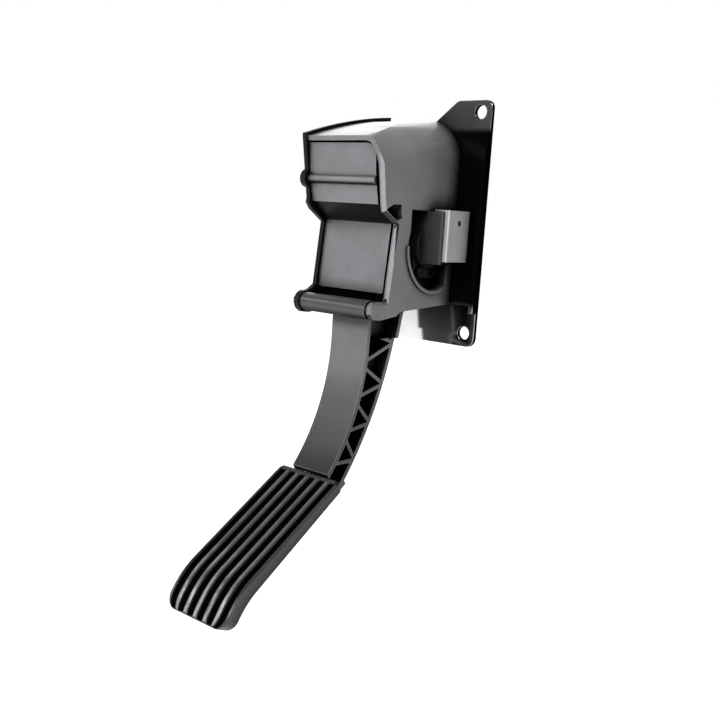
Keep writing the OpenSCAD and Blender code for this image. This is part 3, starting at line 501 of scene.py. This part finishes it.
# CAD pieces whose domes, rolls and bends show: each is shown by a copy with its facets blended. Body and slot of each
blended = {
    "mounting_plate": ("mount", "black_steel"),
    "housing": ("mount", "black_nylon"),
    "side_cover": ("mount", "cover_black"),
    "front_cover": ("mount", "black_nylon"),
    "sensor_body": ("mount", "cover_black"),
    "connector_shell": ("mount", "grey_nylon"),
    "upper_snap_pin": ("mount", "cover_black"),
    "lower_snap_pin": ("mount", "cover_black"),
    "pedal_arm": ("pedal", "black_nylon"),
}
blendSetup = {"sharpest": 27.0, "weld": 0.000001, "areaWeight": 80}  # degrees, and metres between doubles


def blendFacets(nodeName, body):
    # Loose triangles are joined; edges flatter than the angle are shaded round, weighted by the faces' areas
    mesh = nodes[nodeName].data.copy()
    shell = bmesh.new()
    shell.from_mesh(mesh)
    bmesh.ops.remove_doubles(shell, verts=shell.verts, dist=blendSetup["weld"])
    shell.to_mesh(mesh)
    shell.free()
    for old in [a.name for a in mesh.attributes if a.name in ("custom_normal", "sharp_edge", "sharp_face")]:
        mesh.attributes.remove(mesh.attributes[old])
    mesh.polygons.foreach_set("use_smooth", [True] * len(mesh.polygons))
    mesh.update()
    mesh.set_sharp_from_angle(angle=math.radians(blendSetup["sharpest"]))
    piece = bpy.data.objects.new(nodeName.replace("_", "") + "Skin", mesh)
    bpy.context.scene.collection.objects.link(piece)
    weights = piece.modifiers.new("weights", "WEIGHTED_NORMAL")
    weights.keep_sharp, weights.weight = True, blendSetup["areaWeight"]
    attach(piece, body)
    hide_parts(nodeName)


for nodeName, (body, slot) in blended.items():
    blendFacets(nodeName, body)
print("facets blended")

# The foot pad, in metres and degrees. Its top face starts at (topY, topZ) and runs down its slope; u is the way along
# the face and w the depth below it, where "under" in a name is a depth too
padSetup = {
    "width": 0.052, "topY": -0.0972, "topZ": -0.1632, "slope": 32.3, "flat": 0.085, "bendRadius": 0.055, "bend": 36.0,
    "cornerTop": 0.0045, "cornerLow": 0.0092, "core": 0.0135, "edge": 0.0015,  # core: half width no corner squeezes
    "wallTop": 0.0066, "wallLow": 0.0092,  # depth of the side wall at the top and from the bend on
    "grooves": 6, "step": 0.0085, "ridgeHalf": 0.0024, "ridgeForm": 2.2, "grooveDepth": 0.0022, "rimRun": 0.0013,
    "grooveFrom": 0.0030, "grooveRun": 0.0016, "grooveEnd": 0.0004, "grooveEndRun": 0.0018,
    "lipInset": 0.0044, "lipUnder": 0.0056, "seatInset": 0.0030, "seatUnder": 0.0030,
    "notchHalf": 0.0126, "notchLong": 0.006,  # painted shade: 1 is a ridge's unshaded top, less is darker
    "shadeBorder": 0.8, "shadeEnds": 0.75, "shadeSeat": 0.4,  # how bare the rubber is, where 1 is a ridge's top
    "cornerPlaces": (8, 12), "ridgePlaces": 15, "borderPlaces": 13, "startPlaces": 6, "lengthPlaces": 66,
    "weld": 0.000002, "sharpest": 50.0,
}
padFinish = {
    "level": 0.050, "tint": 1.04, "rough": 0.21, "ior": 1.5, "cloudScale": 55.0, "grain": 1700, "depth": 0.00007,
    "groove": 0.0012, "wearAndHighlight": 0.36, "wearAndHighlightFrom": (0.195, 0.222),  # groove: grey of the grooves' painted shade; then the depths under the origin past which crest wear and painted highlight grow
    "wearAndHighlightCrest": (0.82, 1.0), "greyCrest": (0.45, 1.0), "unshadedCrest": (0.40, 0.92), "wearAndHighlightHigh": 0.12,
}


def makePadRubber(f):
    # Satin rubber: black in the grooves as painted shade, greyer and smoother along the crests of the ridges from wear
    # and a painted highlight, most at the low end
    material, tree = startMaterial("padRubber")
    place, tint = objectPlace(tree), f["tint"]
    crest = addNode(tree, "ShaderNodeAttribute", {"attribute_name": "crest"}, {}, "Fac")
    cloud = noise(tree, place, f["cloudScale"], 4.0)
    speck = noise(tree, place, f["grain"], 3.0, 0.6)
    base = blendColours(tree, cloud.between(0.3, 0.7), grey(f["level"] * 0.8, tint), grey(f["level"] * 1.15, tint))
    low = (place.axis("Z") * -1.0).between(*f["wearAndHighlightFrom"])
    # Wear and painted highlight on the crests, strongest at the low end
    scuffAndHighlight = crest.between(*f["wearAndHighlightCrest"]) * cloud.between(0.3, 0.65) * (f["wearAndHighlightHigh"] + (1 - f["wearAndHighlightHigh"]) * low)
    base = blendColours(tree, scuffAndHighlight, base, grey(f["wearAndHighlight"], tint))
    # Painted shade: the grooves go dark
    base = blendColours(tree, crest.between(*f["greyCrest"]), grey(f["groove"], tint), base)
    rough = f["rough"] + (speck - 0.5) * 0.16 - scuffAndHighlight * 0.06 + (1.0 - crest) * 0.25
    bump = bumped(tree, speck, f["depth"], 0.5)
    # Where the crest value is low, painted shade turns the rubber black
    finishMaterial(tree, {"Base Color": base, "Roughness": rough, "Normal": bump}, {"IOR": f["ior"]},
                   crest.between(*f["unshadedCrest"]))
    return material


def padLength(p):
    # The straight part and the arc of the bend
    return p["flat"] + p["bendRadius"] * math.radians(p["bend"])


def padPlace(p, x, u, w):
    # u up to flat is a straight line; past it the face turns about a centre bendRadius below it
    turn = np.maximum(u - p["flat"], 0) / p["bendRadius"]
    along = np.minimum(u, p["flat"]) + (p["bendRadius"] - w) * np.sin(turn)
    deep = p["bendRadius"] - (p["bendRadius"] - w) * np.cos(turn)
    c, s = math.cos(math.radians(p["slope"])), math.sin(math.radians(p["slope"]))
    return np.stack([x, p["topY"] - along * c + deep * s, p["topZ"] - along * s - deep * c], -1)


def padRows(p):
    # Places along u: close together round the corners and at the grooves' start, even between
    length = padLength(p)
    topCorner, lowCorner = (1 - np.cos(np.linspace(0, math.pi / 2, count)) for count in p["cornerPlaces"])
    near = np.array([0.05, 0.25, 0.6]) * p["edge"]
    start = p["grooveFrom"] + np.linspace(0, p["grooveRun"], p["startPlaces"])
    even = np.linspace(p["cornerTop"] + 0.0012, length - p["cornerLow"] - 0.001, p["lengthPlaces"])
    rows = [p["cornerTop"] * topCorner, length - p["cornerLow"] * lowCorner, near, length - near, start, even]
    return np.unique(np.round(np.concatenate(rows), 6))


def padBorder(p):
    # Half width at which the flat border beside the outermost groove begins
    return (p["grooves"] - 1) / 2 * p["step"] + p["step"] / 2 - p["ridgeHalf"]


def padColumns(p):
    # Places across x: each ridge's sides are close together where they turn down into the grooves
    swell = p["ridgeHalf"] * np.sin(np.linspace(-math.pi / 2, math.pi / 2, p["ridgePlaces"]))
    crests = (np.arange(p["grooves"] - 1) - (p["grooves"] - 2) / 2) * p["step"]
    ridges = (crests[:, None] + swell[None, :]).ravel()
    border, half = padBorder(p), p["width"] / 2
    shoulder = border + (half - border) * (1 - np.cos(np.linspace(0, math.pi, p["borderPlaces"]))) / 2
    floors = (p["grooves"] - 1) / 2 * p["step"] + np.array([-0.001, 0.0, 0.001])
    floors = (floors[None, :] - np.arange(p["grooves"])[:, None] * p["step"]).ravel()
    return np.unique(np.round(np.concatenate([ridges, shoulder, -shoulder, floors]), 6))


def padOutline(p, rows, columns, inset):
    # Plan of the pad on the grid: the columns outside the core are squeezed in where the corners are round
    length, half, core = padLength(p), p["width"] / 2, p["core"]
    u = inset + rows * (length - 2 * inset) / length
    top, low = max(p["cornerTop"] - inset, 0.001), max(p["cornerLow"] - inset, 0.002)
    fromTop, fromLow = np.minimum(u - inset, top), np.minimum(length - inset - u, low)
    cut = top - np.sqrt(np.maximum(top ** 2 - (top - fromTop) ** 2, 0))
    cut = cut + low - np.sqrt(np.maximum(low ** 2 - (low - fromLow) ** 2, 0))
    reach = half - inset - cut
    size = np.abs(columns)[None, :]
    x = np.where(size > core, core + (size - core) * (reach[:, None] - core) / (half - core), size)
    return np.sign(columns)[None, :] * x, np.repeat(u[:, None], len(columns), 1)


def padRelief(p, rows, columns):
    # Depth of the top face, and how unshaded it is, lower being painted shade: ridges are flat-topped ellipses that
    # rise out of the grooves, and the rim falls off as a quarter circle
    u, x = rows[:, None], np.abs(columns)[None, :]
    offset = (x + (p["grooves"] % 2) * p["step"] / 2) % p["step"]
    offset = np.minimum(offset, p["step"] - offset)
    swell = np.sqrt(1 - np.clip(offset / p["ridgeHalf"], 0, 1) ** p["ridgeForm"])
    inBorder = x > padBorder(p)
    border = np.clip((x - padBorder(p)) / p["rimRun"], 0, 1)
    swell = np.where(inBorder, np.sqrt(1 - (1 - border) ** 2), swell)
    begun = np.clip((u - p["grooveFrom"]) / p["grooveRun"], 0, 1)
    begun = begun * np.clip((padLength(p) - p["grooveEnd"] - u) / p["grooveEndRun"], 0, 1)
    begun = begun * begun * (3 - 2 * begun)
    groove = (1 - swell) * begun
    away = np.minimum(np.minimum(p["width"] / 2 - x, u), padLength(p) - u)
    away = np.clip(away, 0, p["edge"])
    fall = p["edge"] - np.sqrt(p["edge"] ** 2 - (p["edge"] - away) ** 2)
    unshaded = (1 - groove) * (p["shadeEnds"] + (1 - p["shadeEnds"]) * begun) * np.where(inBorder, p["shadeBorder"], 1.0)
    return groove * p["grooveDepth"] + fall, unshaded


def makePad(p):
    # Top relief, a wall round it, a lip underneath and the seat for the arm's foot, all rings of one outline
    rows, columns = padRows(p), padColumns(p)
    nu, nx = len(rows), len(columns)
    x, u = padOutline(p, rows, columns, 0.0)
    w, crest = padRelief(p, rows, columns)
    grid = np.arange(nu * nx).reshape(nu, nx)
    loop = np.concatenate([grid[0, :-1], grid[:-1, -1], grid[-1, :0:-1], grid[:0:-1, 0]])
    sheets, shades = [padPlace(p, x, u, w).reshape(-1, 3)], [crest.ravel()]
    wall = p["wallTop"] + (p["wallLow"] - p["wallTop"]) * np.clip(u / p["flat"], 0, 1)
    # Each ring: how far in from the outline, how deep, and how unshaded, lower being painted shade. The first three
    # round the wall's lower edge
    rings = [(0.0, wall - 0.0009, 0.62), (0.0003, wall - 0.0002, 0.66), (0.0010, wall, 0.68),
             (p["lipInset"], wall, p["shadeSeat"]), (p["lipInset"], p["lipUnder"], p["shadeSeat"]),
             (p["seatInset"], p["lipUnder"], p["shadeSeat"]), (p["seatInset"], p["seatUnder"], p["shadeSeat"])]
    for number, (inset, depth, shade) in enumerate(rings):
        rx, ru = padOutline(p, rows, columns, inset)
        inNotch = (np.abs(rx) < p["notchHalf"]) & (ru < p["notchLong"])
        # In the notch the rings lie a hair apart, so that none of them merge
        depth = np.where(inNotch, p["seatUnder"] + 0.00001 * (number + 1), depth)
        sheets.append(padPlace(p, rx, ru, depth).reshape(-1, 3)[loop])
        shades.append(np.full(len(loop), shade))
    sx, su = padOutline(p, rows, columns, p["seatInset"])
    sheets.append(padPlace(p, sx, su, np.full_like(su, p["seatUnder"])).reshape(-1, 3))
    shades.append(np.full(nu * nx, p["shadeSeat"]))
    a, b = np.meshgrid(np.arange(nu - 1), np.arange(nx - 1), indexing="ij")
    quads = np.stack([grid[a, b], grid[a, b + 1], grid[a + 1, b + 1], grid[a + 1, b]], -1).reshape(-1, 4)
    seatStart = nu * nx + len(rings) * len(loop)
    faces, above = [quads], loop
    belows = [nu * nx + number * len(loop) + np.arange(len(loop)) for number in range(len(rings))]
    for below in belows + [loop + seatStart]:
        faces.append(np.stack([above, np.roll(above, -1), np.roll(below, -1), below], -1))
        above = below
    faces.append(quads + seatStart)
    pad = meshObject("footPad", np.concatenate(sheets), np.concatenate(faces).tolist(), makePadRubber(padFinish))
    tone = pad.data.attributes.new("crest", "FLOAT", "POINT")
    tone.data.foreach_set("value", np.concatenate(shades).astype(np.float32))
    closeShell(pad, p["weld"], p["sharpest"])
    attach(pad, "pedal")
    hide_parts("pedal_pad")


def closeShell(piece, weld, sharpest):
    # Doubles are merged, then all faces turn outwards; sharper edges than the angle stay crisp
    shell = bmesh.new()
    shell.from_mesh(piece.data)
    bmesh.ops.remove_doubles(shell, verts=shell.verts, dist=weld)
    bmesh.ops.recalc_face_normals(shell, faces=shell.faces)
    shell.to_mesh(piece.data)
    shell.free()
    piece.data.set_sharp_from_angle(angle=math.radians(sharpest))


makePad(padSetup)
print("foot pad made")

stageSetup = {"floorUnder": 0.012, "floorSize": 30.0, "floorWhite": 0.8, "floorLift": 0.93}
# fadeUp: heights between which the light goes from low to up; roomFront, roomAbove: where the grey room begins
worldSetup = {"lightUp": 0.12, "lightLow": 0.28, "fadeUp": (-0.1, 0.6), "white": 1.0,
              "room": 0.15, "roomFront": (-0.05, 0.25), "roomAbove": (0.0, 0.08)}


def rayIs(tree, kind):
    return addNode(tree, "ShaderNodeLightPath", output="Is " + kind + " Ray")


def whiteToCamera(tree):
    # 1 for rays from the camera, from mirrors and through glass, 0 for rays that light the object
    seen = rayIs(tree, "Camera") + rayIs(tree, "Glossy") + rayIs(tree, "Transmission")
    return seen.maths("MINIMUM", 1.0)


def makeFloor(s):
    # A white floor that keeps the object's shadow: matt white, plus a glow that only the camera and mirrors see
    half = s["floorSize"]
    low = cadBox[0][2] - s["floorUnder"]
    points = np.array([[-half, -half, low], [half, -half, low], [half, half, low], [-half, half, low]])
    material, tree = startMaterial("paleFloor")
    matt = addNode(tree, "ShaderNodeBsdfDiffuse", {}, {"Color": grey(s["floorWhite"])})
    glow = addNode(tree, "ShaderNodeEmission", {}, {"Strength": whiteToCamera(tree) * s["floorLift"]})
    endTree(tree, addNode(tree, "ShaderNodeAddShader", {}, {0: matt, 1: glow}))
    floor = meshObject("floor", points, [[0, 1, 2, 3]], material, 0)


def makeWorld(w):
    # Soft light that is stronger near the horizon than overhead. What the camera sees is white. What is mirrored is
    # white behind and below the object, and a greyer room in front of it and above
    world = bpy.data.worlds.new("studio")
    bpy.context.scene.world = world
    world.use_nodes = True
    tree = world.node_tree
    tree.nodes.clear()
    way = addNode(tree, "ShaderNodeTexCoord", output="Generated")
    height = way.axis("Z")
    front = (way.axis("Y") * -1.0).between(*w["roomFront"]) * height.between(*w["roomAbove"])
    soft = blendColours(tree, height.between(*w["fadeUp"]), grey(w["lightLow"]), grey(w["lightUp"]))
    seen = blendColours(tree, front * (1.0 - rayIs(tree, "Camera")), grey(w["white"]), grey(w["room"]))
    light = addNode(tree, "ShaderNodeBackground", {}, {"Color": soft, "Strength": 1.0})
    white = addNode(tree, "ShaderNodeBackground", {}, {"Color": seen, "Strength": 1.0})
    mixed = addNode(tree, "ShaderNodeMixShader", {}, {0: whiteToCamera(tree), 1: light, 2: white})
    endTree(tree, mixed, "ShaderNodeOutputWorld")


# Each lamp: place, what it faces, width and height in metres, watts
lamps = {
    "keyLamp": ((0.15, -1.75, 0.80), (0, -0.05, -0.05), 0.8, 0.5, 30),
    "sideLamp": ((1.8, -0.5, 0.25), (0, -0.05, -0.05), 0.8, 0.8, 9),
    "backLamp": ((-0.95, 1.25, 0.75), (0, -0.05, 0.05), 0.9, 0.5, 4.5),
    "leftLamp": ((-1.1, -1.15, 0.62), (0, -0.15, -0.2), 0.45, 0.45, 5),
}


def makeLamp(name, place, towards, width, height, watts):
    # The lamp shines along minus "back"
    data = bpy.data.lights.new(name, "AREA")
    data.shape, data.size, data.size_y, data.energy = "RECTANGLE", width, height, watts
    lamp = bpy.data.objects.new(name, data)
    bpy.context.scene.collection.objects.link(lamp)
    back = np.array(place, float) - np.array(towards, float)
    back /= np.linalg.norm(back)
    right = np.cross([0, 0, 1.0], back)
    right /= np.linalg.norm(right)
    lamp.matrix_world = turnedPlace(right, np.cross(back, right), back, place)


makeFloor(stageSetup)
makeWorld(worldSetup)
for lampName, values in lamps.items():
    makeLamp(lampName, *values)
bpy.context.scene.view_settings.view_transform = "Standard"
print("stage made")
